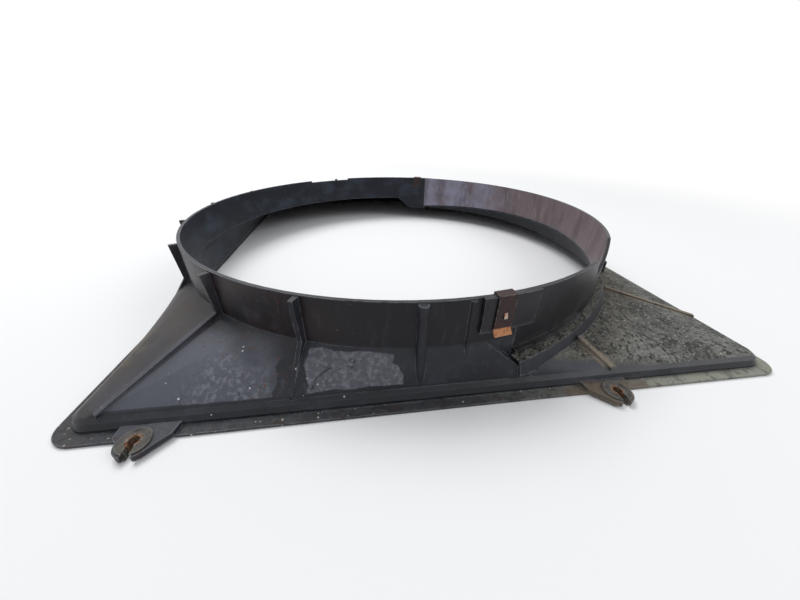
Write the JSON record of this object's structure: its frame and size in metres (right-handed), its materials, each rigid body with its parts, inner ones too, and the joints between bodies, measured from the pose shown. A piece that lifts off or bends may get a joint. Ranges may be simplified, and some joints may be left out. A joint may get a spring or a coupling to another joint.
{
  "type": "radiator fan shroud",
  "caption": "Rectangular moulded pan rising to a round fan ring, part of which lifts off, held by spring clips, with open mounting eyes on two edges.",
  "frame": {"origin": "middle of the radiator face, at the underside of the flange", "axes": "+Z from the radiator towards the fan, +X towards the lift-off side of the ring, +Y along the long side, away from the ring's off-centre end"},
  "size_m": [0.78, 0.9828, 0.1158],
  "materials": {
    "moulded_plastic": "moulded, dusty and scuffed",
    "segment_plastic": "moulded, worn",
    "clip_steel": "rusted spring steel",
    "grommet_rubber": "matte, dusty",
    "sleeve_steel": "plated, lightly rusted"
  },
  "bodies": {
    "pan": {"shroud_panel": "moulded_plastic", "grommet_near_left": "grommet_rubber", "grommet_near_right": "grommet_rubber", "grommet_far_left": "grommet_rubber", "grommet_far_right": "grommet_rubber", "sleeve_near_left": "sleeve_steel", "sleeve_near_right": "sleeve_steel", "sleeve_far_left": "sleeve_steel", "sleeve_far_right": "sleeve_steel"},
    "segment": {"ring_segment": "segment_plastic"},
    "near_clip": {"clip_near": "clip_steel"},
    "far_clip": {"clip_far": "clip_steel"}
  },
  "joints": [
    {"name": "segment_lift", "type": "slide", "parent": "pan", "child": "segment", "axis": [0, 0, 1], "range_m": [0, 0.12]},
    {"name": "near_clip_pull", "type": "slide", "parent": "segment", "child": "near_clip", "axis": [0, 0, 1], "range_m": [0, 0.05]},
    {"name": "far_clip_pull", "type": "slide", "parent": "segment", "child": "far_clip", "axis": [0, 0, 1], "range_m": [0, 0.05]}
  ]
}
